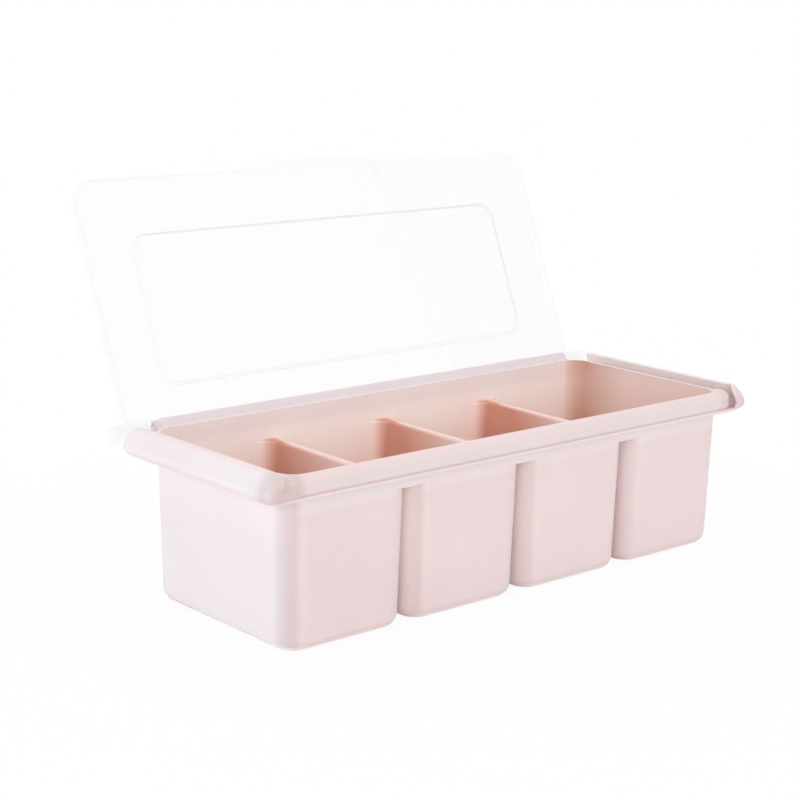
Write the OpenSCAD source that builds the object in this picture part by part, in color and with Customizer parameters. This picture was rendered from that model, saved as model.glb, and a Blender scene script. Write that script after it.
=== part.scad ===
// Four-well condiment tray with one clear lid on two hinge pins.
// Frame: origin at the centre of the tray's flat underside, +Z up, the long side
// along X, the hinge at the back (+Y). The lid is drawn open, leaning back on its stops.

/* [Wells] */
// Number of wells in the row
well_count = 4; // [2:1:6]
// Distance from one well to the next
well_pitch = 71; // [55:0.5:90]
// Outside width of the tubs across the row, just under the ledge
tub_depth = 106.4; // [80:0.2:130]
// Wall thickness of tubs, wells and rim
wall = 1.9; // [1.4:0.1:2.6]
// Floor thickness
floor_t = 2.2; // [1.4:0.1:4]
// Outside radius of the tubs' upright corners
corner_r = 10.8; // [6:0.2:16]
// Outside radius round the bottom of each tub
bottom_r = 5.8; // [3:0.2:9]
// Half of the gap between two tubs, just under the ledge
half_gap = 0.3; // [0.2:0.1:2]
// Draft of every wall, in mm of inset per mm of depth
draft = 0.0195; // [0.005:0.0005:0.04]
// Height of the dividers' tops
divider_z = 67.4; // [50:0.2:70]
// Thickness of the bridge between a divider's top and the gap under it
divider_roof = 1.4; // [1:0.1:3]

/* [Rim] */
// Height of the inner wall's top edge
wall_z = 81.3; // [74:0.1:95]
// Underside of the ledge that runs round under the rim
ledge_z = 71; // [69.4:0.1:72.4]
// Thickness of the ledge
ledge_t = 1.4; // [1:0.1:2]
// How far the ledge stands out in front and behind
ledge_out = 4.3; // [3:0.1:6]
// Radius of the ledge's corners
ledge_corner_r = 11; // [6:0.5:12]
// How far the front rim's skirt stands out from the tubs
skirt_out = 3.9; // [3:0.1:5]
// How far the front rim reaches past the tubs at each end
skirt_end_out = 4.9; // [3:0.1:5.4]
// Open line between the skirt and the ledge
skirt_gap = 1.1; // [0.6:0.1:2]
// Rounding of the front rim's upper edge
skirt_round = 3.4; // [2:0.1:4]
// Radius of the front rim's corners
skirt_corner_r = 8; // [6:0.5:12]
// How far the front rim runs back along each end
skirt_return = 10; // [8:0.5:16]
// Height of the back rim's ridge over the inner wall
back_rise = 3.8; // [1.5:0.1:3.8]
// Distance from the tubs' end to the back rim's end, at each side
back_in = 8; // [5.5:0.5:40]

/* [End lips] */
// Height of the end lips' tops
lip_z = 84.4; // [83:0.1:96]
// Distance from a tub's end to the lip's outer face
lip_out = 13; // [11:0.1:18]
// How far a lip leans inwards from its foot to its top
lip_lean = 5.2; // [3:0.1:7]
// Thickness of a lip
lip_t = 2.7; // [2:0.1:4]
// Rounding of a lip's ends, seen from the side
lip_end_r = 5.8; // [2:0.2:6.4]
// How far a lip stops short of the ledge's back edge
lip_back_in = 3; // [0:0.2:6]
// Bevel along a lip's outer foot
lip_foot = 2; // [1:0.1:2.6]

/* [Hinge] */
// Distance from the back of the tubs to the hinge axis
hinge_out = 7.3; // [6.8:0.1:12]
// Height of the hinge axis over the inner wall's top edge, negative is below
hinge_rise = -1.5; // [-4:0.1:-1.1]
// Diameter of the lid's hinge pins
pin_d = 4; // [3:0.1:5]
// Radial clearance of a pin in its bore
pin_fit = 0.08; // [0.03:0.01:0.1]
// How far a pin reaches into its bracket
pin_len = 6.5; // [4:0.5:8]
// Width of a hinge bracket
bracket_w = 9.5; // [8.6:0.1:14]
// Radius of a bracket's round nose
bracket_r = 3.4; // [3.2:0.1:5]
// Clearance between moving faces
play = 0.3; // [0.2:0.05:0.6]
// Angle from the closed lid to the open one
open_angle = 112.3; // [95:0.1:125]

/* [Lid] */
// Clearance between the lid's sides and the end lips
lid_side_gap = 0.5; // [0.4:0.1:3]
// How far the lid reaches past the front rim
lid_front_over = 5.2; // [2:0.1:8]
// Gap between the back rim's ridge and the closed lid
ridge_gap = 0.6; // [0.4:0.1:2]
// Thickness of the lid
plate_t = 1.6; // [1.2:0.1:2.4]
// Radius of the lid's two front corners
lid_corner_r = 13; // [5:0.5:20]
// How far the plate runs behind the hinge axis
plate_tail = 5; // [4:0.1:6]
// Depth of the rib under the lid's edge
edge_rib_h = 2.2; // [1:0.1:2.4]
// Width of the rib under the lid's edge
edge_rib_w = 1.5; // [1:0.1:3]
// Margin between the lid's edge and its raised panel
panel_margin = 28; // [15:0.1:35]
// Distance from the hinge axis to the raised panel
panel_start = 19.4; // [12:0.1:30]
// Height of the raised panel's step
panel_step = 0.7; // [0.3:0.1:1.2]
// Radius of the raised panel's corners
panel_r = 9; // [3:0.5:15]
// Length of the finger tab along the front edge
tab_len = 96; // [40:1:140]
// How far the finger tab stands out
tab_out = 3.8; // [2:0.1:8]
// Length of the tab's sloping ends
tab_slope = 12; // [6:0.5:20]
// How far a hinge ear stands out past the lid's side
ear_out = 8.5; // [6:0.1:12]
// Radius of a hinge ear's barrel
ear_r = 3.9; // [3:0.1:4.2]

/* [Hidden] */
$fn = 64;
arc_steps = 7;      // facets in a quarter round of a drafted wall
over = 1;           // how far a cutting shape runs past what it cuts
lip_bevel = 0.8;    // bevels along a lip's top
ridge_bevel = 1;    // bevel behind the back rim's ridge
merge = 0.5;        // inset of the hidden part of a shape that runs on into another

// Tray, worked out from the sizes above
slot_top = divider_z - divider_roof;
end_x = well_count * well_pitch / 2;       // end of the tubs at the ledge
side_y = tub_depth / 2;                    // front and back of the tubs at the ledge
ledge_top = ledge_z + ledge_t;
ledge_y = side_y + ledge_out;
lip_x = end_x + lip_out;                   // outer foot of an end lip
lip_y = ledge_y - play;                    // front end of an end lip
lip_len = 2 * lip_y - lip_back_in;
skirt_y = side_y + skirt_out;
skirt_x = end_x + skirt_end_out;
skirt_foot = ledge_top + skirt_gap;
ridge_z = wall_z + back_rise;
hinge_y = side_y + hinge_out;
hinge_z = wall_z + hinge_rise;
bore_r = pin_d / 2 + pin_fit;
bracket_x = end_x - back_in;               // outer face of a hinge bracket

// Lid, in its own frame: hinge axis at the origin, front towards -Y, closed
plate_rise = back_rise - hinge_rise + ridge_gap;    // axis to the plate's underside
lip_top_x = lip_x - lip_lean - lip_t;      // inner face of a lip at its top
lid_x = lip_top_x - lid_side_gap;
lid_front = hinge_y + skirt_y + lid_front_over;
ear_x = lid_x + ear_out;
panel_x = lid_x - panel_margin;
panel_end = lid_front - panel_margin;

function inset(z) = draft * (ledge_z - z);

// One ring of a rounded rectangle, counter-clockwise seen from above
function ring(hx, hy, r, z, cx = 0) = [
    for (q = [0:3], i = [0:arc_steps])
        let (a = 90 * q + 90 * i / arc_steps,
             sx = (q == 0 || q == 3) ? 1 : -1,
             sy = q < 2 ? 1 : -1)
            [cx + sx * (hx - r) + r * cos(a), sy * (hy - r) + r * sin(a), z]
];

// A closed solid through a stack of rings that have the same number of points
module loft(rings) {
    n = len(rings[0]);
    m = len(rings);
    polyhedron(
        points = [for (one = rings) each one],
        faces = [
            [for (i = [0:n - 1]) i],
            [for (i = [n - 1:-1:0]) (m - 1) * n + i],
            for (k = [0:m - 2], i = [0:n - 1])
                let (a = k * n + i, b = k * n + (i + 1) % n)
                    [a, a + n, b + n, b]
        ]
    );
}

// A drafted tub whose half size at the ledge is hx by hy; it ends flush at z_top and runs
// on, drawn in a little, into what lies above
module tub(hx, hy, r, z_low, z_top, low_r, cx) {
    low_rings = [
        for (i = [0:arc_steps])
            let (a = 90 * i / arc_steps,
                 z = z_low + low_r * (1 - cos(a)),
                 d = inset(z) + low_r * (1 - sin(a)))
                ring(hx - d, hy - d, r - low_r * (1 - sin(a)), z, cx)
    ];
    top_in = inset(z_top);
    loft(concat(low_rings, [
        ring(hx - top_in, hy - top_in, r, z_top, cx),
        ring(hx - top_in - merge, hy - top_in - merge, r - merge, z_top + merge, cx)
    ]));
}

module rounded_rect(hx, hy, r) {
    square([2 * hx, 2 * (hy - r)], center = true);
    square([2 * (hx - r), 2 * hy], center = true);
    for (sx = [-1, 1], sy = [-1, 1]) translate([sx * (hx - r), sy * (hy - r)]) circle(r);
}

// Carries a drawing of [y, z] points to the YZ plane and extrudes it from x0 to x1
module along_x(x0, x1) {
    translate([x0, 0, 0]) rotate([90, 0, 90]) linear_extrude(x1 - x0) children();
}

module both_ends() {
    children();
    mirror([1, 0, 0]) children();
}

function well_x(i) = (i - (well_count - 1) / 2) * well_pitch;

module tubs() {
    for (i = [0:well_count - 1])
        tub(well_pitch / 2 - half_gap, side_y, corner_r, 0, slot_top, bottom_r, well_x(i));
}

module upper_wall() {
    low = inset(slot_top);
    high = inset(wall_z);
    loft([ring(end_x - half_gap - low, side_y - low, corner_r, slot_top),
          ring(end_x - half_gap - high, side_y - high, corner_r, wall_z)]);
}

module inside() {
    well_r = corner_r - wall;
    for (i = [0:well_count - 1])
        tub(well_pitch / 2 - half_gap - wall, side_y - wall, well_r, floor_t, divider_z,
            bottom_r - wall, well_x(i));
    low = inset(divider_z);
    high = inset(wall_z + over);
    loft([ring(end_x - half_gap - wall - low, side_y - wall - low, well_r, divider_z),
          ring(end_x - half_gap - wall - high, side_y - wall - high, well_r, wall_z + over)]);
}

module ledge() {
    translate([0, 0, ledge_z]) linear_extrude(ledge_t)
        rounded_rect(lip_x - lip_foot, ledge_y, ledge_corner_r);
}

module front_rim() {
    round_rings = [
        for (i = [0:arc_steps])
            let (a = 90 * i / arc_steps, d = skirt_round * (1 - cos(a)))
                ring(skirt_x - d, skirt_y - d, skirt_corner_r - d,
                     wall_z - skirt_round * (1 - sin(a)))
    ];
    cut_y = skirt_y - skirt_return;
    hollow_r = skirt_corner_r - wall;
    hollow_top = wall_z - wall;
    difference() {
        loft(concat([ring(skirt_x, skirt_y, skirt_corner_r, skirt_foot)], round_rings));
        loft([ring(skirt_x - wall, skirt_y - wall, hollow_r, skirt_foot - over),
              ring(skirt_x - wall, skirt_y - wall, hollow_r, hollow_top - skirt_round + wall),
              ring(skirt_x - wall - merge, skirt_y - wall - merge, hollow_r - merge,
                   hollow_top)]);
        translate([-lip_x, -cut_y, 0]) cube([2 * lip_x, 2 * lip_x, ridge_z + over]);
    }
}

module back_rim() {
    inner = side_y - wall - inset(wall_z);
    skirt_rear = side_y + ledge_out;
    along_x(-bracket_x, bracket_x)
        difference() {
            polygon([[inner, wall_z], [inner + back_rise, ridge_z],
                     [skirt_rear - ridge_bevel, ridge_z],
                     [skirt_rear, ridge_z - 2 * ridge_bevel],
                     [skirt_rear, skirt_foot], [inner, skirt_foot]]);
            polygon([[inner - over, skirt_foot - over], [inner - over, wall_z - over - wall],
                     [inner + back_rise, ridge_z - wall],
                     [skirt_rear - wall, ridge_z - 2 * wall],
                     [skirt_rear - wall, skirt_foot - over]]);
        }
}

module end_lip() {
    foot_in = lip_x - lip_t;
    top_x = lip_x - lip_lean;
    intersection() {
        translate([0, lip_len - lip_y, 0]) rotate([90, 0, 0]) linear_extrude(lip_len)
            polygon([[foot_in - lip_t / 2, ledge_z], [lip_x - lip_foot, ledge_z],
                     [lip_x, ledge_z + lip_foot], [lip_x, ledge_z + lip_lean],
                     [top_x + lip_bevel, lip_z - lip_bevel], [top_x, lip_z],
                     [lip_top_x + lip_bevel, lip_z], [lip_top_x, lip_z - lip_bevel],
                     [foot_in, ledge_z + lip_lean]]);
        along_x(0, lip_x) translate([-lip_back_in / 2, (ledge_z + lip_z) / 2])
            rounded_rect(lip_len / 2, (lip_z - ledge_z) / 2, lip_end_r);
    }
}

module hinge_bracket() {
    n = [cos(open_angle - 90), -sin(open_angle - 90)];
    t = [sin(open_angle - 90), cos(open_angle - 90)];
    axis = [hinge_y, hinge_z];
    stop_low = axis + (plate_rise - play) * n - plate_tail * t;
    stop_high = axis + (plate_rise - play) * n;
    inner = side_y - wall;
    difference() {
        along_x(bracket_x - bracket_w, bracket_x) {
            translate(axis) circle(bracket_r);
            polygon([[inner, ledge_z], [hinge_y - bracket_r, ledge_z], stop_low, stop_high,
                     axis + [0, bracket_r], [inner + back_rise, ridge_z], [inner, wall_z]]);
        }
        translate([bracket_x - pin_len - play, hinge_y, hinge_z])
            rotate([0, 90, 0]) cylinder(r = bore_r, h = pin_len + play + over);
    }
}

module tray() {
    color("mistyrose")
        difference() {
            union() {
                tubs();
                upper_wall();
                ledge();
                front_rim();
                back_rim();
                both_ends() end_lip();
                both_ends() hinge_bracket();
            }
            inside();
        }
}

// Outline of the lid seen from above, drawn with the hinge axis along X
module lid_outline(margin = 0) {
    hx = lid_x - margin;
    front = lid_front - margin;
    r = max(lid_corner_r - margin, 1);
    translate([-hx, -(front - r)]) square([2 * hx, front - r + plate_tail]);
    translate([-(hx - r), -front]) square([2 * (hx - r), front]);
    for (sx = [-1, 1]) translate([sx * (hx - r), -(front - r)]) circle(r);
}

module finger_tab() {
    half = tab_len / 2;
    polygon([[-half, -lid_front + edge_rib_w], [-half, -lid_front],
             [-half + tab_slope, -lid_front - tab_out],
             [half - tab_slope, -lid_front - tab_out],
             [half, -lid_front], [half, -lid_front + edge_rib_w]]);
}

module panel_outline(margin = 0) {
    translate([0, -(panel_start + panel_end) / 2])
        rounded_rect(panel_x - margin, (panel_end - panel_start) / 2 - margin, panel_r - margin);
}

module lid_plate() {
    translate([0, 0, plate_rise]) linear_extrude(plate_t) {
        lid_outline();
        finger_tab();
    }
    translate([0, 0, plate_rise + plate_t]) linear_extrude(panel_step) panel_outline();
}

module edge_rib() {
    rib_back = ear_r + play;
    translate([0, 0, plate_rise - edge_rib_h]) linear_extrude(edge_rib_h)
        difference() {
            lid_outline();
            lid_outline(edge_rib_w);
            translate([-ear_x, -rib_back]) square([2 * ear_x, rib_back + plate_tail + over]);
        }
}

module hinge_ear() {
    inner = bracket_x + play;
    along_x(inner, ear_x) {
        circle(ear_r);
        translate([-ear_r, 0]) square([2 * ear_r, plate_rise + plate_t]);
    }
    translate([bracket_x - pin_len, 0, 0]) rotate([0, 90, 0])
        cylinder(d = pin_d, h = inner - bracket_x + pin_len + over);
}

module closed_lid() {
    difference() {
        union() {
            lid_plate();
            edge_rib();
        }
        translate([0, 0, plate_rise - edge_rib_h])
            linear_extrude(panel_step + edge_rib_h) panel_outline(plate_t);
    }
    both_ends() hinge_ear();
}

module lid() {
    color("azure", 0.4)
        translate([0, hinge_y, hinge_z]) rotate([-open_angle, 0, 0]) closed_lid();
}

tray();
lid();
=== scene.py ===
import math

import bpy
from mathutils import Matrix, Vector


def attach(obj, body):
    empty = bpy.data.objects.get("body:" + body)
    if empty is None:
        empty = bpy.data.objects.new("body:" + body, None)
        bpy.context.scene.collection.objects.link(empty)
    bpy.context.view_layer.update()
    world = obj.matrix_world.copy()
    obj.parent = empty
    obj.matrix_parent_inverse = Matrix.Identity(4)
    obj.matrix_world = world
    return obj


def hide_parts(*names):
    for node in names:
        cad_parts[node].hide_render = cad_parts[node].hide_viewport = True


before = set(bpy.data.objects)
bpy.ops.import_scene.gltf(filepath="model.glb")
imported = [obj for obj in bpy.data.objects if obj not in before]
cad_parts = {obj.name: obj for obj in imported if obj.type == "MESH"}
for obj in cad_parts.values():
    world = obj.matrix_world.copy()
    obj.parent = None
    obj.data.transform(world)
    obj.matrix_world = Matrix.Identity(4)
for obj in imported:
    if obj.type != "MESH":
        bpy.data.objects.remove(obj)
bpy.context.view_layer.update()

# Condiment caddy: a moulded tray of four wells and one clear lid on two hinge pins.
# Sizes are in millimetres in the tray's own frame (origin under its middle, +X along the
# wells, +Y to the hinge, +Z up) and become metres when a mesh is made.

MM = 0.001
ARC = 14                  # facets in a quarter round of an upright corner
EDGE = 4                  # facets in the small rounding of an edge
ROUND = 32                # facets in a pin or a bore
MERGE = 0.5               # inset of the hidden part of a shape that runs on into another
OVER = 1.0                # how far a shape runs past what it cuts or joins
SINK = 0.3                # how far a shape is sunk into what it joins
SLIVER = 0.02             # a face is lifted by this where it would lie in another's plane
MITRE_LIMIT = 0.5         # least cosine by which the inset at a sharp corner is divided

# ---- sizes of the tray ----
WELLS = 4
PITCH = 71.0
TUB_DEPTH = 106.4
WALL = 1.9
FLOOR = 2.2
CORNER_R = 10.8
BOTTOM_R = 5.8
BOTTOM_STEPS = 8          # facets in the rounding under a tub
HALF_GAP = 0.3            # half the slot between two tubs at the ledge
DRAFT = 0.0195            # how far a wall draws in for each millimetre down
DIVIDER_Z = 67.4
DIVIDER_EDGE = 1.4        # rounding along a divider's top
SLOT_TOP = DIVIDER_Z - DIVIDER_EDGE
WALL_Z = 81.3
WALL_EDGE = 0.5           # rounding along the inner wall's top
LEDGE_Z = 71.0
LEDGE_TOP = LEDGE_Z + 1.4
LEDGE_EDGE = 0.3
END_X = WELLS * PITCH / 2
SIDE_Y = TUB_DEPTH / 2
LEDGE_Y = SIDE_Y + 4.3
LEDGE_CORNER_R = 8.0
SKIRT_X = END_X + 4.9     # the skirt is the rolled rim along the front
SKIRT_Y = SIDE_Y + 3.9
SKIRT_FOOT = LEDGE_TOP + 0.9
GROOVE = 0.6              # depth of the groove between the ledge and the front rim
SKIRT_ROUND = 3.4
SKIRT_STEPS = 10
SKIRT_CORNER_R = 8.0
SKIRT_RETURN = 10.0
RIM_FOOT_R = 0.4          # rounding along the lower edges of the rims and brackets
BACK_RISE = 3.8
BACK_T = 1.4 * WALL       # upright thickness of the sloping back rim
BACK_INNER_R = 0.6
RIDGE_Z = WALL_Z + BACK_RISE
RIDGE_ROUND = 1.2
BRACKET_X = END_X - 8.0
BRACKET_W = 9.5
BRACKET_R = 3.4
BRACKET_STEPS = 14
STOP_R = 0.8              # rounding at the foot of a bracket's sloping stop
LIP_X = END_X + 13.0
LIP_FRONT = -LEDGE_Y - 1.2
LIP_BACK = LEDGE_Y - 3.3
LIP_Z = 84.4
LIP_LEAN = 5.2
LIP_T = 2.7
LIP_END_R = 5.8
LIP_FOOT = 2.0
LIP_OUT = 0.8             # the lip bulges a little past its foot
LIP_FACE = (              # the outer face: height over the ledge and reach past LIP_X
    (0.0, -LIP_FOOT), (1.2, -0.6), (3.4, LIP_OUT), (5.6, LIP_OUT - 0.5), (8.6, -1.5),
    (11.4, -3.5), (LIP_Z - LEDGE_Z, -LIP_LEAN))
LIP_TOP_X = LIP_X - LIP_LEAN - LIP_T
HOOK_R = 4.5              # the lip turns inwards round the front corner
HOOK_TIP = 4.0
HOOK_TURN = math.radians(85)
HOOK_LOW_R = 2.0          # the hook grows to its full turn over this height at its foot
HOOK_HIGH_R = LIP_END_R + 0.7
HOOK_BACK = LIP_END_R - 0.8
HOOK_LEAST = 0.6          # least length of the stretch whose facets turn the hook
WEB_LIP_X = -LIP_X + 5.5  # the left corner's web runs from the lip's hook to the rim
WEB_RIM_X = -END_X + 5.0
WEB_PROUD = 1.45          # how far it stands out of the rim at the lip
WEB_FLUSH = 0.05          # how far it lies back at the rim
WEB_DEPTH = 7.0
WEB_SLANT = 2.5
WEB_TOP = WALL_Z - 0.7
WEB_ROUND = 3.2

# ---- sizes of the lid, drawn closed about the hinge axis ----
HINGE_Y = SIDE_Y + 7.3
HINGE_Z = WALL_Z - 1.5
OPEN_ANGLE = math.radians(112.3)
LEAN = OPEN_ANGLE - math.radians(90)
PLAY = 0.3
PIN_R = 2.0
PIN_LEN = 1.2             # only the root of the pin shows through the clear ear
PIN_EDGE = 0.4
BORE_R = PIN_R + 0.08
LID_X = LIP_TOP_X - 0.5
LID_FRONT = HINGE_Y + SKIRT_Y + 5.2
LID_TAIL = 5.0
LID_TAIL_R = 1.5
LID_CORNER_R = 13.0
LID_ARC = 10              # facets in a corner of the lid's outline
PLATE_RISE = RIDGE_Z + 0.6 - HINGE_Z
PLATE_T = 1.6
PLATE_TOP = PLATE_RISE + PLATE_T
PLATE_LOW_R = 0.35
PLATE_HIGH_R = 0.45
RIB_H = 2.2
RIB_W = 1.5
RIB_R = 0.35
PANEL_X = LID_X - 28.0
PANEL_START = 19.4
PANEL_END = LID_FRONT - 28.0
PANEL_STEP = 0.7
PANEL_STEPS = 8
PANEL_R = 9.0
PANEL_MID_Z = 132.0       # height over the table of the open lid's panel, and half its span
PANEL_HALF_Z = 40.0
RECESS_MARGIN = PLATE_T * 0.6
TAB_LEN = 96.0
TAB_OUT = 3.8
TAB_SLOPE = 12.0
TAB_ROOT_R = 6.0
TAB_TIP_R = 5.0
EAR_R = 3.9
EAR_X = LID_X + 8.5
EAR_STEPS = 24
EAR_EDGE = 0.5
EAR_TOP = PLATE_TOP - 0.03
EAR_CORNER = 0.6          # the ear's upper corners are cut off in two steps
EAR_CORNER_MID = 0.18


# ---------------------------------------------------------------- mesh helpers
def inset(z):
    """How far the drafted walls have drawn in at height z."""
    return DRAFT * (LEDGE_Z - z)


def new_piece(name, verts, faces, edges=(), smooth=True):
    """An object from points in millimetres; its mesh is in metres."""
    mesh = bpy.data.meshes.new(name)
    mesh.from_pydata([(x * MM, y * MM, z * MM) for x, y, z in verts], edges, faces)
    mesh.validate()
    mesh.update()
    for face in mesh.polygons:
        face.use_smooth = smooth
    piece = bpy.data.objects.new(name, mesh)
    bpy.context.scene.collection.objects.link(piece)
    return piece


def circle(r, u=0.0, v=0.0, start=0.0, turn=2 * math.pi, steps=ROUND, closed=True):
    """Points on an arc about (u, v); a closed circle doesn't repeat its first point."""
    angles = [start + turn * i / steps for i in range(steps if closed else steps + 1)]
    return [(u + r * math.cos(a), v + r * math.sin(a)) for a in angles]


def rounded_ring(hx, hy, r, z):
    """A rounded rectangle of half size hx by hy, counter-clockwise seen from above."""
    points = []
    for quarter, (sx, sy) in enumerate(((1, 1), (-1, 1), (-1, -1), (1, -1))):
        for i in range(ARC + 1):
            a = math.radians(90 * (quarter + i / ARC))
            points.append((sx * (hx - r) + r * math.cos(a), sy * (hy - r) + r * math.sin(a), z))
    return points


def loft(name, rings):
    """A closed solid through a stack of rings with as many points each."""
    n = len(rings[0])
    verts = [p for ring in rings for p in ring]
    last = (len(rings) - 1) * n
    faces = [list(range(n))[::-1], [last + i for i in range(n)]]
    for k in range(len(rings) - 1):
        for i in range(n):
            j = (i + 1) % n
            faces.append([k * n + i, k * n + j, (k + 1) * n + j, (k + 1) * n + i])
    return new_piece(name, verts, faces)


def round_steps(r, steps=EDGE):
    """(inset, drop) pairs that turn a quarter round of radius r from side to top."""
    angles = [math.radians(90 * i / steps) for i in range(steps + 1)]
    return [(r * (1 - math.cos(a)), r * (1 - math.sin(a))) for a in angles]


def rounded_outline(corners, steps=6):
    """Turns (u, v, radius) corners into points, with an arc at each corner."""
    points = []
    n = len(corners)
    for i, (u, v, r) in enumerate(corners):
        here = Vector((u, v))
        to_last = (Vector(corners[i - 1][:2]) - here).normalized()
        to_next = (Vector(corners[(i + 1) % n][:2]) - here).normalized()
        if r <= 0:
            points.append((u, v))
            continue
        half = to_last.angle(to_next) / 2
        reach = r / math.tan(half)
        centre = here + (to_last + to_next).normalized() * (r / math.sin(half))
        start = here + to_last * reach - centre
        end = here + to_next * reach - centre
        turn = math.atan2(start.x * end.y - start.y * end.x, start.dot(end))
        for k in range(steps + 1):
            a = turn * k / steps
            c, s = math.cos(a), math.sin(a)
            points.append((centre.x + start.x * c - start.y * s,
                           centre.y + start.x * s + start.y * c))
    return points


def offset_outline(points, d):
    """The outline drawn in by d, for outlines that run counter-clockwise."""
    n = len(points)
    drawn_in = []
    for i, p in enumerate(points):
        here = Vector(p)
        before = here - Vector(points[i - 1])
        after = Vector(points[(i + 1) % n]) - here
        n1 = Vector((-before.y, before.x)).normalized()
        n2 = Vector((-after.y, after.x)).normalized()
        middle = (n1 + n2).normalized()
        drawn_in.append(tuple(here + middle * (d / max(middle.dot(n1), MITRE_LIMIT))))
    return drawn_in


def slab(name, outline, low, high, low_r, high_r, place=lambda u, v, w: (u, v, w)):
    """A plate of the outline between low and high with rounded edges."""
    rings = []
    if low_r > 0:
        for d, drop in reversed(round_steps(low_r)):
            rings.append((offset_outline(outline, d), low + drop))
    else:
        rings.append((outline, low))
    if high_r > 0:
        for d, drop in round_steps(high_r):
            rings.append((offset_outline(outline, d), high - drop))
    else:
        rings.append((outline, high))
    return loft(name, [[place(u, v, w) for u, v in ring] for ring, w in rings])


def along_x(name, outline, x0, x1, low_r, high_r):
    """A (y, z) outline carried from x0 to x1, with rounded ends."""
    return slab(name, outline, x0, x1, low_r, high_r, lambda u, v, w: (w, u, v))


def baked(piece):
    """Turns a piece's modifiers into its plain mesh."""
    graph = bpy.context.evaluated_depsgraph_get()
    mesh = bpy.data.meshes.new_from_object(piece.evaluated_get(graph))
    old = piece.data
    piece.modifiers.clear()
    piece.data = mesh
    if old.users == 0:
        bpy.data.meshes.remove(old)
    mesh.name = piece.name
    return piece


def joined(kind, target, *tools):
    """Unions, differences or intersections with the solid boolean; the tools go."""
    for tool in tools:
        change = target.modifiers.new(kind, "BOOLEAN")
        change.operation = kind
        change.solver = "MANIFOLD"
        change.object = tool
    baked(target)
    for tool in tools:
        bpy.data.objects.remove(tool)
    return target


def mirrored(piece):
    """A copy for the left end."""
    other = piece.copy()
    other.data = piece.data.copy()
    other.name = piece.name + "_left"
    bpy.context.scene.collection.objects.link(other)
    other.data.transform(Matrix.Scale(-1, 4, (1, 0, 0)))
    other.data.flip_normals()
    return other


def shaded(piece, angle=30):
    """Smooth shading that keeps flat faces flat and real edges crisp."""
    mesh = piece.data
    for face in mesh.polygons:
        face.use_smooth = True
    mesh.set_sharp_from_angle(angle=math.radians(angle))
    change = piece.modifiers.new("even", "WEIGHTED_NORMAL")
    change.keep_sharp = True
    return baked(piece)


# ---------------------------------------------------------------- node helpers
def fill(group, node, **values):
    """Sets or links a node's inputs; their names are written with _ for a space."""
    for key, value in values.items():
        socket = node.inputs[key.replace("_", " ")]
        if isinstance(value, bpy.types.NodeSocket):
            group.links.new(value, socket)
        else:
            socket.default_value = value
    return node


def add(group, kind, **values):
    """A new node with its inputs filled."""
    return fill(group, group.nodes.new(kind), **values)


class Amount:
    """A node's output that is reckoned with like a number; each step adds a node."""

    def __init__(self, group, output):
        self.group, self.output = group, output

    def step(self, operation, *values):
        made = self.group.nodes.new("ShaderNodeMath")
        made.operation = operation
        for socket, value in zip(made.inputs, values):
            if isinstance(value, Amount):
                self.group.links.new(value.output, socket)
            else:
                socket.default_value = value
        return Amount(self.group, made.outputs[0])

    def __add__(self, other):
        return self.step("ADD", self, other)

    def __sub__(self, other):
        return self.step("SUBTRACT", self, other)

    def __rsub__(self, other):
        return self.step("SUBTRACT", other, self)

    def __mul__(self, other):
        return self.step("MULTIPLY", self, other)

    def __pow__(self, other):
        return self.step("POWER", self, other)

    def __abs__(self):
        return self.step("ABSOLUTE", self)

    def __lt__(self, other):
        return self.step("LESS_THAN", self, other)

    def __gt__(self, other):
        return self.step("GREATER_THAN", self, other)

    def at_least(self, other):
        return self.step("MAXIMUM", self, other)

    def at_most(self, other):
        return self.step("MINIMUM", self, other)

    def ramp(self, low, high, start=0.0, end=1.0, soft=True):
        """Maps low and high to start and end, and holds those values past them."""
        made = add(self.group, "ShaderNodeMapRange", Value=self.output, From_Min=low,
                   From_Max=high, To_Min=start, To_Max=end)
        made.interpolation_type = "SMOOTHSTEP" if soft else "LINEAR"
        return Amount(self.group, made.outputs["Result"])


def parted(group, vector):
    """The three parts of a vector as amounts."""
    return [Amount(group, part)
            for part in add(group, "ShaderNodeSeparateXYZ", Vector=vector).outputs]


def tree(name, *inputs):
    """An empty node tree with a geometry input and output and the named inputs."""
    group = bpy.data.node_groups.new(name, "GeometryNodeTree")
    for label, kind, value in (("Geometry", "Geometry", None),) + inputs:
        socket = group.interface.new_socket(label, in_out="INPUT",
                                            socket_type="NodeSocket" + kind)
        if value is not None:
            socket.default_value = value
    group.interface.new_socket("Geometry", in_out="OUTPUT", socket_type="NodeSocketGeometry")
    return group, group.nodes.new("NodeGroupInput"), group.nodes.new("NodeGroupOutput")


def end_tree(group, start, end, geometry):
    """Ends a tree in plain geometry with the given material."""
    solid = add(group, "GeometryNodeRealizeInstances", Geometry=geometry)
    finish = add(group, "GeometryNodeSetMaterial", Geometry=solid.outputs["Geometry"],
                 Material=start.outputs["Material"])
    group.links.new(finish.outputs["Geometry"], end.inputs["Geometry"])
    return group


def run_tree(piece, group, **values):
    """Applies a node tree to the piece with its inputs set by identifier."""
    change = piece.modifiers.new(group.name, "NODES")
    change.node_group = group
    for item in group.interface.items_tree:
        if item.in_out == "INPUT" and item.name in values:
            change[item.identifier] = values[item.name]
    return baked(piece)


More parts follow.
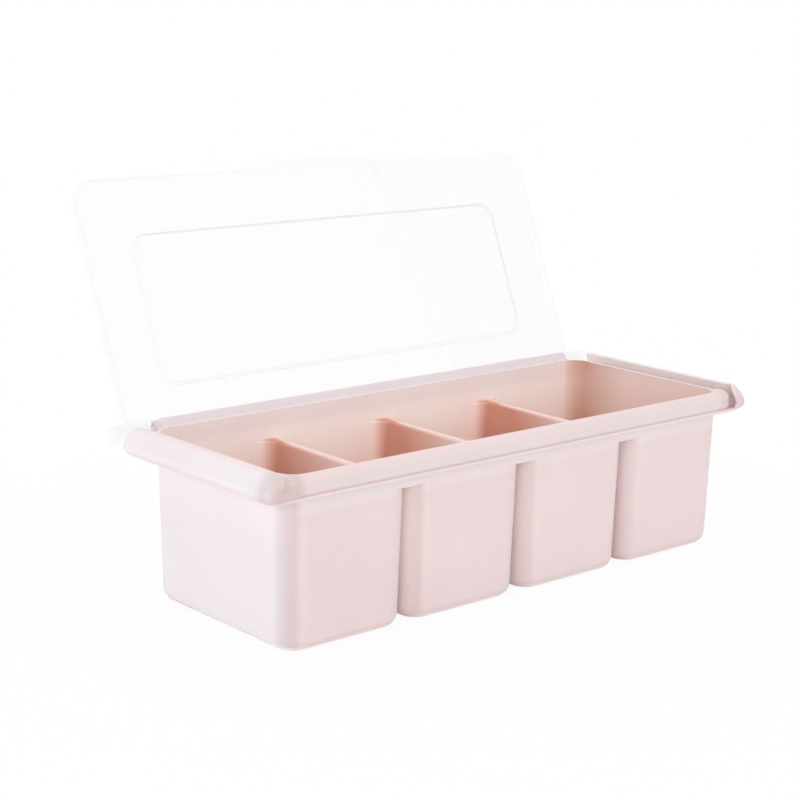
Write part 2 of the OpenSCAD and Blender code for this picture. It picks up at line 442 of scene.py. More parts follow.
def row_tree():
    """Repeats what it is given along X, centred on the origin."""
    group, start, end = tree("row_of_wells", ("Count", "Int", WELLS),
                             ("Pitch", "Float", PITCH * MM), ("Material", "Material", None))
    spaces = Amount(group, start.outputs["Count"]) - 1.0
    first = spaces * Amount(group, start.outputs["Pitch"]) * -0.5
    begin = add(group, "ShaderNodeCombineXYZ", X=first.output)
    step = add(group, "ShaderNodeCombineXYZ", X=start.outputs["Pitch"])
    line = add(group, "GeometryNodeMeshLine", Count=start.outputs["Count"],
               Start_Location=begin.outputs[0], Offset=step.outputs[0])
    placed = add(group, "GeometryNodeInstanceOnPoints", Points=line.outputs["Mesh"],
                 Instance=start.outputs["Geometry"])
    return end_tree(group, start, end, placed.outputs["Instances"])


def rib_tree():
    """Sweeps a rectangular rib with rounded corners along the edges it is given."""
    group, start, end = tree("edge_rib", ("Width", "Float", RIB_W * MM),
                             ("Height", "Float", RIB_H * MM), ("Corner", "Float", RIB_R * MM),
                             ("Material", "Material", None))
    path = add(group, "GeometryNodeMeshToCurve", Mesh=start.outputs["Geometry"])
    upright = add(group, "GeometryNodeSetCurveNormal", Curve=path.outputs["Curve"])
    upright.mode = "Z_UP"
    section = add(group, "GeometryNodeCurvePrimitiveQuadrilateral",
                  Width=start.outputs["Width"], Height=start.outputs["Height"])
    softened = group.nodes.new("GeometryNodeFilletCurve")
    softened.mode = "POLY"
    fill(group, softened, Curve=section.outputs["Curve"], Count=3,
         Radius=start.outputs["Corner"])
    swept = add(group, "GeometryNodeCurveToMesh", Curve=upright.outputs["Curve"],
                Profile_Curve=softened.outputs["Curve"], Fill_Caps=True)
    return end_tree(group, start, end, swept.outputs["Mesh"])


# ---------------------------------------------------------------- the tray
def tub_rings(hx, hy, r, low, top, low_r):
    """Rings of a drafted tub from its rounded foot up to top, and a hidden one over it."""
    rings = []
    for i in range(BOTTOM_STEPS + 1):
        a = math.radians(90 * i / BOTTOM_STEPS)
        z = low + low_r * (1 - math.cos(a))
        round_in = low_r * (1 - math.sin(a))
        d = inset(z) + round_in
        rings.append(rounded_ring(hx - d, hy - d, r - round_in, z))
    d = inset(top)
    rings.append(rounded_ring(hx - d, hy - d, r, top))
    rings.append(rounded_ring(hx - d - MERGE, hy - d - MERGE, r - MERGE, top + MERGE))
    return rings


def in_a_row(piece, row, count):
    return run_tree(piece, row, Count=count, Pitch=PITCH * MM)


def divider_top():
    """The rounded crest of one divider, flaring where it meets the front and the back."""
    well_r = CORNER_R - WALL
    half = HALF_GAP + WALL + inset(SLOT_TOP)
    centre_y = SIDE_Y - WALL - inset(SLOT_TOP) - well_r

    def crest(d, z):
        points = []
        for sx, sy, first, last in ((1, -1, 270, 180), (1, 1, 180, 90),
                                    (-1, 1, 90, 0), (-1, -1, 360, 270)):
            cx, cy = sx * (half + well_r), sy * centre_y
            arc = [(cx + (well_r + d) * math.cos(math.radians(a)),
                    cy + (well_r + d) * math.sin(math.radians(a)), z)
                   for a in (first + (last - first) * i / ARC for i in range(ARC + 1))]
            into_wall = (cx, sy * (centre_y + well_r + OVER), z)
            points += [into_wall] + arc if (sx > 0) == (sy < 0) else arc + [into_wall]
        return points

    rings = [crest(SINK, SLOT_TOP - MERGE)]
    rings += [crest(d, DIVIDER_Z - drop) for d, drop in round_steps(DIVIDER_EDGE)]
    return loft("divider_top", rings)


def wells(row):
    """What is hollow in the tray: four wells, open into one another over the dividers."""
    well_r = CORNER_R - WALL
    well = loft("wells", tub_rings(PITCH / 2 - HALF_GAP - WALL, SIDE_Y - WALL, well_r,
                                   FLOOR, SLOT_TOP, BOTTOM_R - WALL))
    in_a_row(well, row, WELLS)
    rings = []
    for z in (SLOT_TOP, WALL_Z - WALL_EDGE):
        d = inset(z) + WALL
        rings.append(rounded_ring(END_X - HALF_GAP - d, SIDE_Y - d, well_r, z))
    # the wall's top edge rounds over towards the inside
    d = inset(WALL_Z) + WALL
    for i in range(1, EDGE + 1):
        a = math.radians(90 * i / EDGE)
        out = WALL_EDGE * (1 - math.cos(a))
        z = WALL_Z - WALL_EDGE + WALL_EDGE * math.sin(a)
        rings.append(rounded_ring(END_X - HALF_GAP - d + out, SIDE_Y - d + out, well_r + out, z))
    rings.append([(x, y, z + SLIVER) for x, y, z in rings[-1]])
    return joined("UNION", well, loft("hollow", rings))


def upper_wall():
    """The one wall round all the wells, from the slots' tops to its own rounded top."""
    rings = []
    for z in (SLOT_TOP, WALL_Z - WALL_EDGE):
        d = inset(z)
        rings.append(rounded_ring(END_X - HALF_GAP - d, SIDE_Y - d, CORNER_R, z))
    base = inset(WALL_Z)
    for d, drop in round_steps(WALL_EDGE)[1:]:
        rings.append(rounded_ring(END_X - HALF_GAP - base - d, SIDE_Y - base - d,
                                  CORNER_R - d, WALL_Z - drop))
    return loft("upper_wall", rings)


def flat_ring(hx, hy, r):
    """A rounded rectangle as a flat outline."""
    return [p[:2] for p in rounded_ring(hx, hy, r, 0)]


def ledge():
    return slab("ledge", flat_ring(LIP_X - LIP_FOOT, LEDGE_Y, LEDGE_CORNER_R),
                LEDGE_Z, LEDGE_TOP, LEDGE_EDGE, LEDGE_EDGE)


def front_rim():
    """The rolled rim along the front, with short returns at both ends."""
    def ring(d, z):
        return rounded_ring(SKIRT_X - d, SKIRT_Y - d, SKIRT_CORNER_R - d, z)

    rings = [ring(d, SKIRT_FOOT + drop) for d, drop in reversed(round_steps(RIM_FOOT_R))]
    rings += [ring(d, WALL_Z - drop) for d, drop in round_steps(SKIRT_ROUND, SKIRT_STEPS)]
    rim = loft("front_rim", rings)
    top = WALL_Z - WALL
    hollow = loft("rim_hollow", [ring(WALL, SKIRT_FOOT - OVER), ring(WALL, top - MERGE),
                                 ring(WALL + MERGE, top)])
    joined("DIFFERENCE", rim, hollow)
    step = flat_ring(SKIRT_X - GROOVE, SKIRT_Y - GROOVE, SKIRT_CORNER_R - GROOVE)
    joined("UNION", rim, slab("groove_back", step, LEDGE_TOP - SINK, SKIRT_FOOT + MERGE, 0, 0))
    cut_y = SKIRT_Y - SKIRT_RETURN
    behind = slab("behind", [(-LIP_X, -cut_y), (LIP_X, -cut_y), (LIP_X, LIP_X), (-LIP_X, LIP_X)],
                  0, RIDGE_Z + OVER, 0, 0)
    return joined("DIFFERENCE", rim, behind)


def back_rim():
    """The rim along the back: it slopes up from the inner wall to the ridge."""
    inner = SIDE_Y - WALL - inset(WALL_Z) + WALL_EDGE
    apex = WALL_Z + LEDGE_Y - inner       # where the slope would meet the rear face
    outline = rounded_outline([
        (inner, WALL_Z - BACK_T, 0), (LEDGE_Y - WALL, apex - WALL - BACK_T, BACK_INNER_R),
        (LEDGE_Y - WALL, SKIRT_FOOT, RIM_FOOT_R), (LEDGE_Y, SKIRT_FOOT, RIM_FOOT_R),
        (LEDGE_Y, apex, RIDGE_ROUND), (inner, WALL_Z, 0)])
    return along_x("back_rim", outline, -BRACKET_X + OVER, BRACKET_X - OVER, 0, 0)


def lip_face(z):
    """X of the lip's outer face at height z: a smooth curve through LIP_FACE."""
    points = [(LEDGE_Z + up, LIP_X + out) for up, out in LIP_FACE]
    for i, ((z0, x0), (z1, x1)) in enumerate(zip(points, points[1:])):
        if z <= z1:
            before, after = points[max(i - 1, 0)], points[min(i + 2, len(points) - 1)]
            t = (z - z0) / (z1 - z0)
            m0 = (x1 - before[1]) / (z1 - before[0]) * (z1 - z0)
            m1 = (after[1] - x0) / (after[0] - z0) * (z1 - z0)
            return ((2 * t**3 - 3 * t**2 + 1) * x0 + (t**3 - 2 * t**2 + t) * m0
                    + (3 * t**2 - 2 * t**3) * x1 + (t**3 - t**2) * m1)
    return points[-1][1]


def lip_fullness(z, low_r, high_r):
    """0 at the lip's foot and top edges, 1 in between, with quarter rounds of those radii."""
    low = 1 - min((z - LEDGE_Z) / low_r, 1)
    high = 1 - min((LIP_Z - z) / high_r, 1)
    return math.sqrt(max(1 - low**2, 0)) * math.sqrt(max(1 - high**2, 0))


def end_lip():
    """The right end's lip: a rounded band that leans in towards its top."""
    half_t = LIP_T / 2
    nose, bend, middle, levels = 6, 10, 24, 28      # facets along the lip and up it
    round_over = [half_t * (1 - math.cos(math.radians(90 * i / nose))) for i in range(nose + 1)]
    last = 2 * nose + bend + middle
    verts, grid = [], {}
    for k in range(levels + 1):
        z = (LEDGE_Z + LIP_Z - (LIP_Z - LEDGE_Z) * math.cos(math.radians(180 * k / levels))) / 2
        open_end = LIP_END_R * (1 - lip_fullness(z, LIP_END_R, LIP_END_R))
        full = lip_fullness(z, HOOK_LOW_R, HOOK_HIGH_R)
        turn, tip = HOOK_TURN * full, HOOK_TIP * full
        front = LIP_FRONT + HOOK_BACK * (1 - full)
        bend_y = front + HOOK_R * math.sin(turn) + tip * math.cos(turn)
        arc = tip + HOOK_R * turn
        length = arc + (LIP_BACK - open_end) - bend_y
        start = max(arc, half_t + HOOK_LEAST)
        stations = round_over + [half_t + (start - half_t) * i / bend
                                 for i in range(1, bend + 1)]
        stations += [start + (length - half_t - start) * i / middle
                     for i in range(1, middle + 1)]
        stations += [length - d for d in reversed(round_over[:-1])]
        for i, along in enumerate(stations):
            if along < tip:
                a, back = turn, tip - along
            else:
                a, back = max((arc - along) / HOOK_R, 0), 0
            nx, ny = math.cos(a), -math.sin(a)
            x = lip_face(z) - HOOK_R * (1 - nx) + back * ny
            y = bend_y + HOOK_R * ny - back * nx + max(along - arc, 0)
            edge = min(along, length - along, z - LEDGE_Z, LIP_Z - z, half_t)
            bulge = math.sqrt(max(half_t**2 - (half_t - edge)**2, 0))
            on_edge = k in (0, levels) or i in (0, last)
            for side in (1,) if on_edge else (1, -1):
                grid[side, i, k] = len(verts)
                reach = side * bulge - half_t
                verts.append((x + nx * reach, y + ny * reach, z))
            if on_edge:
                grid[-1, i, k] = grid[1, i, k]
    faces = []
    for i in range(last):
        for k in range(levels):
            quad = [(i, k), (i + 1, k), (i + 1, k + 1), (i, k + 1)]
            faces.append([grid[(1,) + q] for q in quad])
            faces.append([grid[(-1,) + q] for q in reversed(quad)])
    return new_piece("end_lip", verts, faces)


def corner_web():
    """The left front corner, where the end of the lip runs into the front rim."""
    back_y = -SKIRT_Y + WEB_DEPTH
    outline = rounded_outline([(WEB_LIP_X, -SKIRT_Y - WEB_PROUD, 0),
                               (WEB_RIM_X, -SKIRT_Y + WEB_FLUSH, 0), (WEB_RIM_X, back_y, 0),
                               (WEB_LIP_X + WEB_SLANT, back_y, 0)])
    return slab("corner_web", outline, LEDGE_TOP - SINK, WEB_TOP, 0, WEB_ROUND)


def hinge_bracket():
    """The right bracket: a block under the back rim with a round nose and a sloping stop."""
    nx, nz = math.cos(LEAN), -math.sin(LEAN)
    reach = PLATE_RISE - PLAY
    stop_high = (HINGE_Y + reach * nx, HINGE_Z + reach * nz)
    stop_low = (stop_high[0] + LID_TAIL * nz, stop_high[1] - LID_TAIL * nx)
    inner = SIDE_Y - WALL + SINK
    outline = rounded_outline([(inner, LEDGE_Z, 0), (HINGE_Y - BRACKET_R, LEDGE_Z, BACK_INNER_R),
                               (*stop_low, STOP_R), (*stop_high, 0)])
    outline += circle(BRACKET_R, HINGE_Y, HINGE_Z, -LEAN, math.pi / 2 + LEAN, BRACKET_STEPS, False)
    outline += [(inner + BACK_RISE, RIDGE_Z), (inner, WALL_Z)]
    block = along_x("hinge_bracket", outline, BRACKET_X - BRACKET_W, BRACKET_X,
                    RIM_FOOT_R, RIM_FOOT_R)
    bore = along_x("bore", circle(BORE_R, HINGE_Y, HINGE_Z), BRACKET_X - PIN_LEN - PLAY,
                   BRACKET_X + OVER, 0, 0)
    return joined("DIFFERENCE", block, bore)


def tray_moulding():
    """The whole tray, joined into one solid."""
    row = row_tree()
    tray = loft("tray_moulding", tub_rings(PITCH / 2 - HALF_GAP, SIDE_Y, CORNER_R, 0,
                                           SLOT_TOP, BOTTOM_R))
    in_a_row(tray, row, WELLS)
    joined("UNION", tray, upper_wall(), ledge(), front_rim(), back_rim())
    joined("DIFFERENCE", tray, wells(row))
    joined("UNION", tray, in_a_row(divider_top(), row, WELLS - 1))
    lip, bracket = end_lip(), hinge_bracket()
    joined("UNION", tray, lip, mirrored(lip), corner_web(), bracket, mirrored(bracket))
    return shaded(tray)


# ---------------------------------------------------------------- the lid, drawn closed
def lid_outline():
    """The plate seen from above, with the finger tab at its front."""
    half = TAB_LEN / 2
    return rounded_outline([
        (LID_X, LID_TAIL, LID_TAIL_R), (-LID_X, LID_TAIL, LID_TAIL_R),
        (-LID_X, -LID_FRONT, LID_CORNER_R), (-half, -LID_FRONT, TAB_ROOT_R),
        (-half + TAB_SLOPE, -LID_FRONT - TAB_OUT, TAB_TIP_R),
        (half - TAB_SLOPE, -LID_FRONT - TAB_OUT, TAB_TIP_R), (half, -LID_FRONT, TAB_ROOT_R),
        (LID_X, -LID_FRONT, LID_CORNER_R)], LID_ARC)


def edge_rib(rib):
    """The rib under the plate's edge, along both sides and the front."""
    x, y, r = LID_X - RIB_W / 2, LID_FRONT - RIB_W / 2, LID_CORNER_R - RIB_W / 2
    back = -(EAR_R + PLAY)
    z = PLATE_RISE - (RIB_H - SINK) / 2
    flat = [(-x, back)]
    flat += circle(r, r - x, r - y, math.pi, math.pi / 2, ARC, False)
    flat += circle(r, x - r, r - y, 1.5 * math.pi, math.pi / 2, ARC, False)
    flat.append((x, back))
    piece = new_piece("edge_rib", [(u, v, z) for u, v in flat], [],
                      [(i, i + 1) for i in range(len(flat) - 1)])
    return run_tree(piece, rib, Width=RIB_W * MM, Height=(RIB_H + SINK) * MM, Corner=RIB_R * MM)


def panel(name, margin, low, high):
    """A raised field with softly stepped sides between the heights low and high."""
    cy = -(PANEL_START + PANEL_END) / 2
    hx, hy = PANEL_X - margin, (PANEL_END - PANEL_START) / 2 - margin
    soft = PANEL_STEP / 2
    rings = [(-soft, low - MERGE)]
    for i in range(PANEL_STEPS + 1):
        t = i / PANEL_STEPS
        ease = t * t * (3 - 2 * t)
        lift = SLIVER / 2 if i == 0 else 0
        rings.append((-soft + 2 * soft * t, low + (high - low) * ease + lift))
    return loft(name, [[(px, py + cy, z) for px, py, z in
                        rounded_ring(hx - d, hy - d, PANEL_R - margin - d, z)]
                       for d, z in rings])


def hinge_ear():
    """The right ear: a barrel on the hinge axis that rises into the plate, and its pin."""
    inner = BRACKET_X + PLAY
    corner = [(EAR_R, EAR_TOP - EAR_CORNER), (EAR_R - EAR_CORNER_MID, EAR_TOP - EAR_CORNER_MID),
              (EAR_R - EAR_CORNER, EAR_TOP)]
    outline = circle(EAR_R, start=math.pi, turn=math.pi, steps=EAR_STEPS, closed=False)
    outline += corner + [(-u, v) for u, v in reversed(corner)]
    ear = along_x("hinge_ear", outline, inner, EAR_X, EAR_EDGE, EAR_EDGE)
    pin = along_x("hinge_pin", circle(PIN_R), BRACKET_X - PIN_LEN, inner + OVER, PIN_EDGE, 0)
    return joined("UNION", ear, pin)


def lid_moulding():
    """The whole lid, made closed about the hinge axis and then turned open."""
    lid = slab("lid_moulding", lid_outline(), PLATE_RISE, PLATE_TOP, PLATE_LOW_R, PLATE_HIGH_R)
    ear = hinge_ear()
    joined("UNION", lid, panel("raised_field", 0, PLATE_TOP, PLATE_TOP + PANEL_STEP),
           edge_rib(rib_tree()), ear, mirrored(ear))
    joined("DIFFERENCE", lid, panel("field_recess", RECESS_MARGIN, PLATE_RISE,
                                    PLATE_RISE + PANEL_STEP))
    lid.data.transform(Matrix.Translation((0, HINGE_Y * MM, HINGE_Z * MM))
                       @ Matrix.Rotation(-OPEN_ANGLE, 4, "X"))
    return shaded(lid)


# ---------------------------------------------------------------- materials
# Painted light and shade at single places on the tray: the colour that multiplies the
# plastic's, a painted shade where it darkens and a painted light where it lightens, and the
# bands whose product says where. A band is a mask by its name, (amount, "<" or ">", limit)
# or (amount, where it starts, where it is full). Places are in millimetres.
PAINTED_LIGHT_AND_SHADE = {
    "wells": ((1.19, 1.19, 1.17), ("inside",), ("z", WALL_Z - WALL_EDGE, WALL_Z - 0.9)),
    "left_end": ((1.0, 1.10, 1.14), ("outside",), ("leftward", 0.3, 1.0), ("x", -130, -138)),
    "right_lip_inside": ((1.23, 1.36, 1.36), ("leftward", 0.4, 0.8), ("x", 143.5, 144.5),
                         ("y", -54, -46)),
    "end_wall": ((0.87, 0.95, 0.95), ("last_well",), ("shaded_wall",)),
    "lip_noses": ((0.85, 0.81, 0.80), ("aside", 133, 139), ("y", -46, -54),
                  ("z", ">", LEDGE_TOP - 0.2), ("x", 0, 100, 1.0, 0.6)),
    "left_lip": ((0.94, 0.96, 0.96), ("x", -142.5, -143.5), ("z", 74.5, 78.0)),
    "back_rim": ((0.91, 0.95, 0.97), ("y", 52, 53), ("z", 81.2, 82.0)),
    "pin_bores": ((1.18, 1.25, 1.25), ("from_pin", "<", BORE_R + 0.2),
                  ("aside", "<", BRACKET_X - 0.1)),
    "under_ledge": ((1.10, 1.20, 1.20), ("outside",), ("backward", -0.4, -0.95),
                    ("z", "<", LEDGE_Z - 0.1), ("z", 61.0, 70.6, 0.0, 1.0, False)),
    "under_left_lip": ((1.09, 1.075, 1.075), ("outside",), ("leftward", 0.4, 0.8),
                       ("x", "<", -130), ("z", "<", LEDGE_TOP - 0.2),
                       ("z", 46.0, 66.0, 0.0, 1.0, False)),
    "slots": ((1.18, 1.22, 1.18), ("outside",), ("y", "<", -30), ("aside", "<", 120),
              ("z", "<", SLOT_TOP), ("across", 7, 1), ("x", 60, -70)),
    "low_fronts": ((1.06, 1.09, 1.06), ("inside",), ("z", 77, 69), ("backward", -0.6, -0.95)),
    "tub_corners": ((0.79, 0.77, 0.76), ("turning",), ("outside",), ("z", "<", LEDGE_Z - 0.1),
                    ("x", -142, 71, 1.0, 0.4, False)),
    "front_half": ((0.93, 1.06, 1.15), ("leftward", 0.7, 0.9), ("before_last",), ("y", 24, -24)),
    "rim_top": ((0.97, 0.92, 0.92), ("z", 78.0, 80.6), ("outside",), ("y", "<", -45),
                ("aside", "<", 140)),
    "left_foot": ((1.12, 1.27, 1.29), ("leftward", 0.0, 0.15), ("x", -120, -128),
                  ("z", 5.0, 0.5), ("y", -51, -43)),
}
# colours of the painted warm shade in the wells, from none to the deepest
WARM_SHADE = ((0.0, (1, 1, 1)), (0.18, (0.975, 0.90, 0.875)), (0.5, (0.83, 0.70, 0.63)),
              (1.0, (0.62, 0.35, 0.25)))
# Where the painted warm shade deepens: (amount, from, to, its depth there, and there, soft or
# not).
WARM_BANDS = {
    "divider_to_back": ("y", -12, 44, 0.30, 1.0, False),
    "divider_to_right": ("x", -70, 70, 0.0, 0.18, False),
    "divider_to_floor": ("z", 82, 50, -0.04, 0.10, False),
    "end_to_back": ("y", 14, 44, 0.38, 0.76, False),
    "end_to_top": ("z", 70, 80, 0.0, 0.16),
    "end_behind": ("y", 30, 46),
    "back_to_floor": ("z", 76, 50, 0.0, 0.08, False),
    "back_to_right": ("x", -20, 120, 1.0, 1.6),
    "over_slots": ("z", 65.5, 66.5),
    "under_crests": ("z", 68.5, 68.0),
    "flat": ("upward", 0.3, 0.9),
    "left_of_divider": ("past_divider", 60, 70, 0.05, 0.55),
    "by_back_wall": ("y", 34, 48),
}
WEB_SHADE = 0.32          # WEB_SHADE = 0.32 # depth of the painted shade all along a divider's crest
SHADE_BEND = 1.6          # SHADE_BEND = 1.6 # power of the facing by which the painted shade grows, less in the last well
FACING_FROM = 0.04        # how far a wall has to face left before it counts
LAST_WELL = (90, 112)
WELL_EDGE = (0.0, 0.2)
TURNING = (0.08, 0.50, 0.0, 2.0)
STEEP = 50.0              # parts the space over the slots from the slots themselves


def material(name):
    """A new node material with its tree, its plastic shader and its output."""
    made = bpy.data.materials.new(name)
    made.use_nodes = True
    group = made.node_tree
    return made, group, group.nodes["Principled BSDF"], group.nodes["Material Output"]


def blended(group, kind, share, first, second):
    """Two colours mixed or multiplied, by the given share of the second."""
    made = group.nodes.new("ShaderNodeMix")
    made.data_type = "RGBA"
    made.blend_type = kind
    for label, value in (("Factor", share), ("A", first), ("B", second)):
        socket = [one for one in made.inputs if one.name == label and one.enabled][0]
        if isinstance(value, bpy.types.NodeSocket):
            group.links.new(value, socket)
        else:
            socket.default_value = value
    return [one for one in made.outputs if one.enabled][0]


def graded(group, share, stops):
    """A colour ramp through (place, colour) stops."""
    made = add(group, "ShaderNodeValToRGB", Fac=share)
    elements = made.color_ramp.elements
    for i in (0, -1):
        elements[i].position = stops[i][0]
        elements[i].color = (*stops[i][1], 1)
    for position, colour in stops[1:-1]:
        elements.new(position).color = (*colour, 1)
    return made.outputs["Color"]


def bumped(group, height, strength, distance, **normal):
    """The normal of a surface that is raised by height, over another normal if one is given."""
    bump = add(group, "ShaderNodeBump", Height=height, Strength=strength, Distance=distance,
               **normal)
    return bump.outputs["Normal"]


def mixed(group, share, first, second):
    """Two shaders mixed, by the given share of the second."""
    made = add(group, "ShaderNodeMixShader", Fac=share)
    group.links.new(first.outputs[0], made.inputs[1])
    group.links.new(second.outputs[0], made.inputs[2])
    return made.outputs[0]


def tray_places(group, place):
    """Where a point of the tray lies, in millimetres, and which way it faces."""
    x, y, z = [part * (1 / MM) for part in parted(group, place.outputs["Object"])]
    rightward, backward, upward = parted(group, place.outputs["Normal"])
    leftward = (-FACING_FROM - rightward).at_least(0.0)
    frontward = (backward * -1.0).at_least(0.0)

    # the wells' walls lie inside the tubs' outlines drawn halfway through the plastic
    mid = WALL / 2
    drawn_in = (LEDGE_Z - z) * DRAFT
    from_long_side = SIDE_Y - mid - (abs(y) + drawn_in)
    from_end = END_X - HALF_GAP - mid - (abs(x) + drawn_in)
    across = x.step("PINGPONG", x, PITCH / 2)
    over_slot = (z - (SLOT_TOP + mid)) * STEEP
    from_slot = (across - (drawn_in + (HALF_GAP + mid))).at_least(over_slot)
    r = CORNER_R - mid
    past_x = (r - from_end.at_most(from_slot)).at_least(0.0)
    past_y = (r - from_long_side).at_least(0.0)
    inside = (r - (past_x ** 2 + past_y ** 2) ** 0.5).ramp(*WELL_EDGE)

    last_well = x.ramp(*LAST_WELL)
    return {"x": x, "y": y, "z": z, "aside": abs(x), "across": across, "inside": inside,
            "past_divider": x.step("FLOORED_MODULO", x, PITCH),
            "from_pin": ((y - HINGE_Y) ** 2 + (z - HINGE_Z) ** 2) ** 0.5,
            "leftward": leftward, "backward": backward, "upward": upward,
            "outside": 1.0 - inside, "last_well": last_well, "before_last": inside - last_well,
            "shaded_wall": leftward ** (SHADE_BEND - last_well) * inside,
            "turning": leftward * frontward * leftward.ramp(*TURNING)}


def banded(where, name, *limits):
    """A mask by its name, or an amount held against a limit or taken up a ramp."""
    part = where[name]
    if not limits:
        return part
    if limits[0] == "<":
        return part < limits[1]
    if limits[0] == ">":
        return part > limits[1]
    return part.ramp(*limits)


def mask(where, bands):
    """The product of a tone's bands."""
    first, *others = [banded(where, *band) for band in bands]
    for other in others:
        first = first * other
    return first


def warm_shade(where):
    """How deep the painted warm shade in the wells is, from 0 to about 1."""
    band = {name: banded(where, *one) for name, one in WARM_BANDS.items()}
    last_well = where["last_well"]
    # walls that face left get the painted shade, most of all at the back
    by_divider = band["divider_to_back"] + band["divider_to_right"] + band["divider_to_floor"]
    by_end = band["end_to_back"] + band["end_to_top"] * band["end_behind"]
    depth = by_end * last_well + by_divider * (1.0 - last_well)
    # the painted shade on the back wall deepens a little towards its foot and towards the last
    # well
    low_back = band["back_to_floor"] * band["back_to_right"] * where["inside"]
    # painted shade on the small webs where a divider meets the back wall, and faintly along the
    # crests
    at_crest = band["over_slots"] * band["under_crests"] * band["flat"]
    web = at_crest * (band["by_back_wall"] * band["left_of_divider"] + WEB_SHADE)
    return where["shaded_wall"] * depth + low_back + web


def pink_polypropylene():
    """Satin moulded plastic that lets a little warm light through its walls, with painted shade
    and painted light in its colour by place and facing.
    """
    made, group, skin, _ = material("tray_plastic_satin_pink")
    fill(group, skin, IOR=1.49, Specular_IOR_Level=0.5, Subsurface_Weight=0.35,
         Subsurface_Radius=(1.0, 0.38, 0.26), Subsurface_Scale=0.004)
    place = group.nodes.new("ShaderNodeTexCoord")
    spot = place.outputs["Object"]

    # faint clouding of the pigment, and the painted warm shade of the wells
    cloud = add(group, "ShaderNodeTexNoise", Vector=spot, Scale=22.0, Detail=4.0, Roughness=0.55)
    colour = graded(group, cloud.outputs["Fac"],
                    ((0.3, (0.800, 0.675, 0.678)), (0.7, (0.825, 0.705, 0.708))))
    where = tray_places(group, place)
    painted_warm_shade = graded(group, warm_shade(where).output, WARM_SHADE)
    colour = blended(group, "MULTIPLY", 1.0, colour, painted_warm_shade)
    # painted light and shade at single places, multiplied into the colour
    for tone, *bands in PAINTED_LIGHT_AND_SHADE.values():
        colour = blended(group, "MULTIPLY", mask(where, bands).output, colour, (*tone, 1))

    # satin skin: fine mould texture over a slow waviness
    grain = add(group, "ShaderNodeTexNoise", Vector=spot, Scale=2600.0, Detail=3.0)
    wave = add(group, "ShaderNodeTexNoise", Vector=spot, Scale=60.0, Detail=2.0)
    gloss = Amount(group, wave.outputs["Fac"]).ramp(0.3, 0.7, 0.36, 0.46, soft=False)
    slow = bumped(group, wave.outputs["Fac"], 0.25, 0.0002)
    fine = bumped(group, grain.outputs["Fac"], 0.12, 0.00004, Normal=slow)
    fill(group, skin, Base_Color=colour, Roughness=gloss.output, Normal=fine)
    return made


def clear_styrene():
    """Clear moulded plastic, faintly grey-green where the light has a long way through it."""
    made, group, skin, out = material("lid_plastic_clear")
    place = group.nodes.new("ShaderNodeTexCoord")
    wave = add(group, "ShaderNodeTexNoise", Vector=place.outputs["Object"], Scale=35.0,
               Detail=2.0)
    gloss = Amount(group, wave.outputs["Fac"]).ramp(0.3, 0.7, 0.02, 0.06, soft=False)
    fill(group, skin, Base_Color=WHITE, IOR=1.5, Transmission_Weight=1.0,
         Specular_IOR_Level=0.5, Roughness=gloss.output,
         Normal=bumped(group, wave.outputs["Fac"], 0.2, 0.0002))
    deep = add(group, "ShaderNodeVolumeAbsorption", Color=(0.80, 0.82, 0.81, 1), Density=26.0)

    # painted shade: the slopes of the panel's step are coloured darker than the flat plate
    x, _, z = [part * (1 / MM) for part in parted(group, place.outputs["Object"])]
    _, backward, upward = parted(group, place.outputs["Normal"])
    flat = abs(backward * math.cos(LEAN) - upward * math.sin(LEAN))
    near_panel = (abs(x) < PANEL_X + 2) * (abs(z - PANEL_MID_Z) < PANEL_HALF_Z)
    painted_slope_shade = flat.ramp(0.99, 0.85) * near_panel
    clear = blended(group, "MIX", painted_slope_shade.output, (0.995, 0.995, 0.995, 1), (0.90, 0.905, 0.91, 1))
    through = add(group, "ShaderNodeBsdfTransparent", Color=clear)
    fill(group, out, Surface=mixed(group, 0.10, through, skin), Volume=deep.outputs["Volume"])
    return made


# ---------------------------------------------------------------- camera, floor and light
WHITE = (1, 1, 1, 1)
CAMERA_AT = (-0.60362, -0.66091, 0.28864)
AZIMUTH, ELEVATION, ROLL = 0.71149, 0.22313, 0.0165     # to +X, down, and right side up
WORLD_STRENGTH = 0.83
FLOOR_HALF = 6000.0
FLOOR_DROP = 0.3
LAMPS_AIM = (0, 0, 0.05)
LAMPS = (                 # name, watts, size and place in metres
    ("key_left", 13.6, (2.0, 1.1), (-2.2, -0.6, 0.7)),
    ("front", 3.3, (1.8, 1.2), (-0.3, -2.2, 0.9)),
    ("front_top", 5.2, (1.6, 1.4), (-0.2, -1.5, 2.1)),
    ("overhead", 8.0, (2.0, 2.0), (0.2, 0.5, 2.4)))


def sees_background(group):
    """1 for what shows the background: the camera, gloss and clear plastic."""
    path = group.nodes.new("ShaderNodeLightPath")
    camera, gloss, through = [Amount(group, path.outputs["Is %s Ray" % kind])
                              for kind in ("Camera", "Glossy", "Transmission")]
    return camera.at_least(gloss).at_least(through)


def set_world():
    """Even light all round, and plain white where the background shows."""
    world = bpy.data.worlds.new("white_studio")
    bpy.context.scene.world = world
    world.use_nodes = True
    group = world.node_tree
    group.nodes.clear()
    light = add(group, "ShaderNodeBackground", Color=WHITE, Strength=WORLD_STRENGTH)
    seen = add(group, "ShaderNodeBackground", Color=WHITE, Strength=1.0)
    add(group, "ShaderNodeOutputWorld",
        Surface=mixed(group, sees_background(group).output, light, seen))


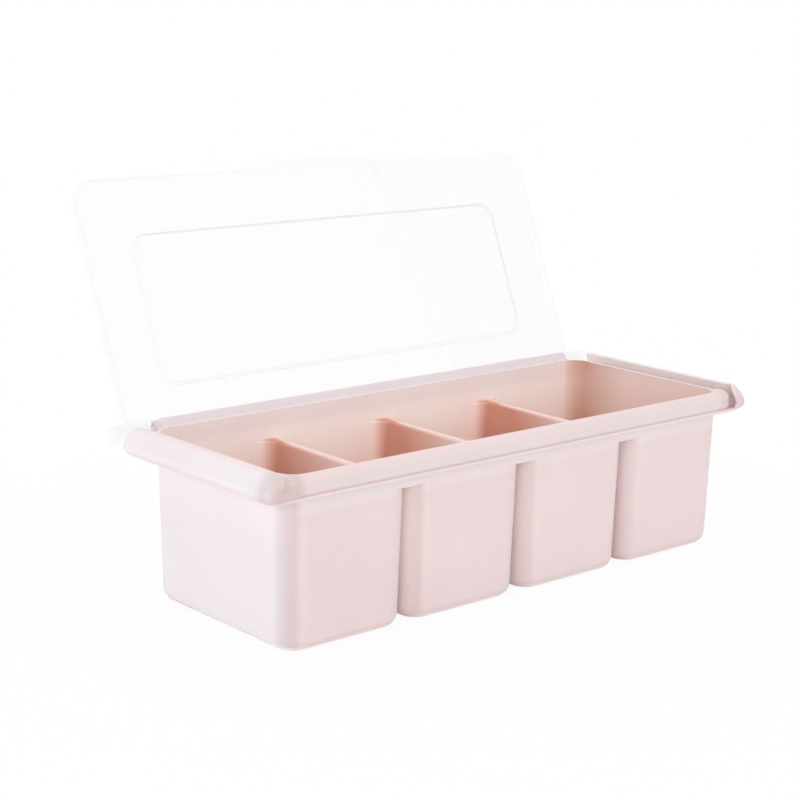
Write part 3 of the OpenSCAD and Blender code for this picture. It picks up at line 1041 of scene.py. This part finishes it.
def paper_floor():
    """White paper that takes a faint shadow close to the tray and is plain white beyond."""
    corners = [(sx * FLOOR_HALF, sy * FLOOR_HALF, -FLOOR_DROP)
               for sx, sy in ((-1, -1), (1, -1), (1, 1), (-1, 1))]
    piece = new_piece("floor", corners, [(0, 1, 2, 3)], smooth=False)
    made = bpy.data.materials.new("white_floor")
    made.use_nodes = True
    group = made.node_tree
    group.nodes.clear()
    paper = add(group, "ShaderNodeBsdfDiffuse", Color=(0.88, 0.88, 0.88, 1))
    white = add(group, "ShaderNodeEmission", Strength=1.0)
    place = group.nodes.new("ShaderNodeTexCoord")
    away = group.nodes.new("ShaderNodeVectorMath")
    away.operation = "LENGTH"
    group.links.new(place.outputs["Object"], away.inputs[0])
    plain = Amount(group, away.outputs["Value"]).ramp(0.16, 0.33, 0.93, 1.0, soft=False)
    share = sees_background(group) * plain
    add(group, "ShaderNodeOutputMaterial", Surface=mixed(group, share.output, paper, white))
    piece.data.materials.append(made)


def softbox(name, power, size, at):
    lamp = bpy.data.lights.new(name, "AREA")
    lamp.energy = power
    lamp.shape = "RECTANGLE"
    lamp.size, lamp.size_y = size
    holder = bpy.data.objects.new(name, lamp)
    holder.location = at
    holder.rotation_euler = (Vector(LAMPS_AIM) - Vector(at)).to_track_quat("-Z", "Y").to_euler()
    bpy.context.scene.collection.objects.link(holder)


def set_camera():
    look = Vector((math.sin(AZIMUTH) * math.cos(ELEVATION),
                   math.cos(AZIMUTH) * math.cos(ELEVATION), -math.sin(ELEVATION)))
    side = Vector((math.cos(AZIMUTH), -math.sin(AZIMUTH), 0))
    up = side.cross(look)
    right = math.cos(ROLL) * side + math.sin(ROLL) * up
    top = -math.sin(ROLL) * side + math.cos(ROLL) * up
    eye = bpy.data.cameras.new("camera")
    eye.sensor_width = 36
    eye.lens = 84.081
    eye.clip_start, eye.clip_end = 0.05, 50
    holder = bpy.data.objects.new("camera", eye)
    holder.matrix_world = Matrix.Translation(CAMERA_AT) @ Matrix(
        (right, top, -look)).transposed().to_4x4()
    bpy.context.scene.collection.objects.link(holder)
    bpy.context.scene.camera = holder


def finished(piece, body, node, look):
    """Gives a piece its material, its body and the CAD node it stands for."""
    piece.data.materials.clear()
    piece.data.materials.append(look)
    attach(piece, body)
    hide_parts(node)


finished(tray_moulding(), "tray", "tray", pink_polypropylene())
finished(lid_moulding(), "lid", "lid", clear_styrene())

set_camera()
paper_floor()
set_world()
for lamp in LAMPS:
    softbox(*lamp)

scene = bpy.context.scene
scene.view_settings.view_transform = "Standard"
